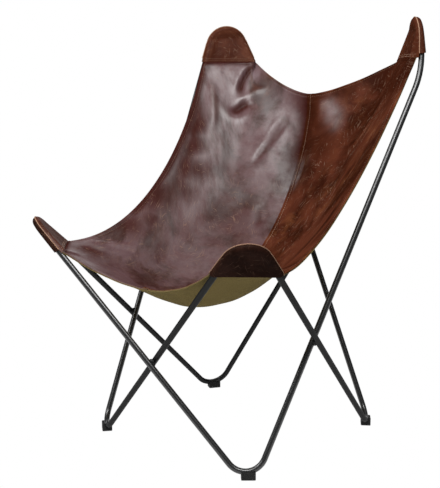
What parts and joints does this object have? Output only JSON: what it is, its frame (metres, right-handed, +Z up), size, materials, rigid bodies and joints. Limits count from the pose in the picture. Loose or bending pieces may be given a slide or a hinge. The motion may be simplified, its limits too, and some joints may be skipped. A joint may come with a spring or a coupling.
{
  "type": "butterfly sling chair",
  "caption": "Butterfly lounge chair: a brown leather sling, lined with canvas, hung by corner pockets from a welded frame of crossed bent steel bar loops on rubber feet.",
  "frame": {"origin": "on the floor under the middle of the chair's outline", "axes": "+Z up, front of the seat towards -Y, sitter's left towards +X"},
  "size_m": [0.6138, 0.6772, 0.8753],
  "materials": {
    "frame": "satin black-grey paint",
    "weld": "satin black-grey paint over a weld bead",
    "foot": "matt black",
    "leather": "waxed brown leather, scuffed",
    "canvas": "plain-woven khaki cotton canvas"
  },
  "bodies": {
    "root": {"bar_loop_a": "frame", "bar_loop_b": "frame", "weld_front": "weld", "weld_rear": "weld", "weld_left": "weld", "weld_right": "weld", "foot_front_left": "foot", "foot_front_right": "foot", "foot_rear_right": "foot", "foot_rear_left": "foot", "pocket_inner_back_left": "leather", "pocket_outer_back_left": "leather", "pocket_inner_back_right": "leather", "pocket_outer_back_right": "leather", "pocket_inner_front_left": "leather", "pocket_outer_front_left": "leather", "pocket_inner_front_right": "leather", "pocket_outer_front_right": "leather", "leather_panel_left": "leather", "leather_panel_right": "leather", "canvas_lining": "canvas"}
  },
  "joints": []
}
